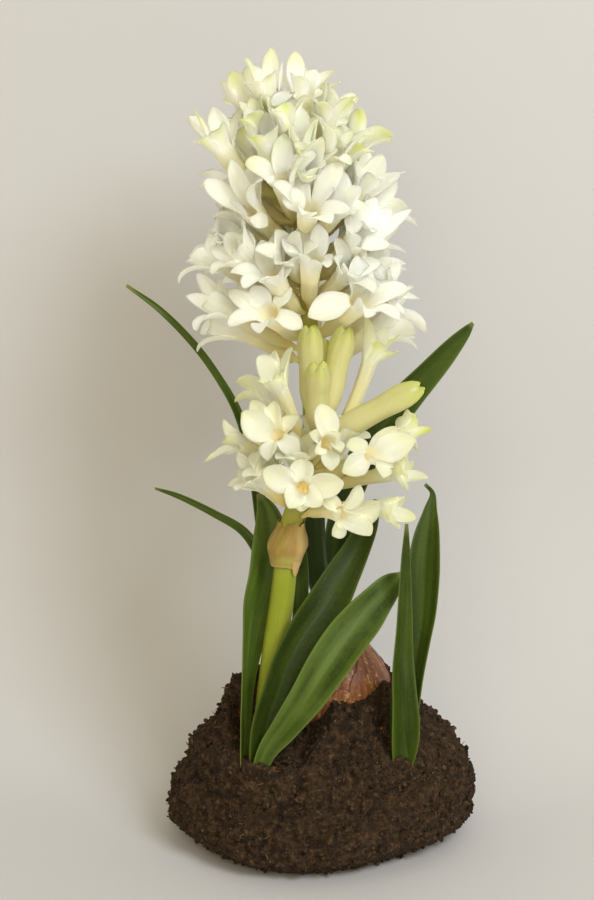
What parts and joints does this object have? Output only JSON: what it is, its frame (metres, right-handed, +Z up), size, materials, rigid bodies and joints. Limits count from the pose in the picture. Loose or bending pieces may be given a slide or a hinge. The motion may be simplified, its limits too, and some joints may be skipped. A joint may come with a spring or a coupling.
{
  "type": "hyacinth flower",
  "caption": "White hyacinth growing from its bulb in a free-standing clod of dark soil: a tall dense flower spike, a shorter spike still opening in front of it, and narrow strap leaves.",
  "frame": {"origin": "middle of the soil clod's flat underside", "axes": "+Z up along the flower spikes, +X to the right, the plant's front towards -Y"},
  "size_m": [0.1375, 0.1099, 0.3076],
  "materials": {
    "soil": "rough dark peat with pale fibres",
    "bulb_skin": "dry papery coppery skin with a slight sheen",
    "stalk": "satin yellow-green stalk",
    "dry_collar": "dry papery ochre",
    "leaf": "satin green leaf with fine lengthwise veins",
    "bud": "waxy yellow-green bud",
    "petal": "soft translucent creamy white petal"
  },
  "bodies": {
    "root": {"soil_clod": "soil", "bulb": "bulb_skin", "tall_stalk": "stalk", "short_stalk": "stalk", "short_stalk_collar": "dry_collar", "left_wrap_leaf": "leaf", "lower_left_leaf": "leaf", "front_leaf_upper": "leaf", "front_leaf_lower": "leaf", "upper_right_leaf": "leaf", "upper_left_leaf": "leaf", "middle_leaf": "leaf", "right_leaf_pair": "leaf", "short_head_buds": "bud", "short_floret_01": "petal", "short_floret_02": "petal", "short_floret_03": "petal", "short_floret_04": "petal", "short_floret_05": "petal", "short_floret_06": "petal", "short_floret_07": "petal", "short_floret_08": "petal", "short_floret_09": "petal", "short_floret_10": "petal", "short_floret_11": "petal", "short_floret_12": "petal", "short_floret_13": "petal", "tall_floret_01": "petal", "tall_floret_02": "petal", "tall_floret_03": "petal", "tall_floret_04": "petal", "tall_floret_05": "petal", "tall_floret_06": "petal", "tall_floret_07": "petal", "tall_floret_08": "petal", "tall_floret_09": "petal", "tall_floret_10": "petal", "tall_floret_11": "petal", "tall_floret_12": "petal", "tall_floret_13": "petal", "tall_floret_14": "petal", "tall_floret_15": "petal", "tall_floret_16": "petal", "tall_floret_17": "petal", "tall_floret_18": "petal", "tall_floret_19": "petal", "tall_floret_20": "petal", "tall_floret_21": "petal", "tall_floret_22": "petal", "tall_floret_23": "petal", "tall_floret_24": "petal", "tall_floret_25": "petal", "tall_floret_26": "petal", "tall_floret_27": "petal", "tall_floret_28": "petal", "tall_floret_29": "petal", "tall_floret_30": "petal", "tall_floret_31": "petal", "tall_floret_32": "petal", "tall_floret_33": "petal"}
  },
  "joints": []
}
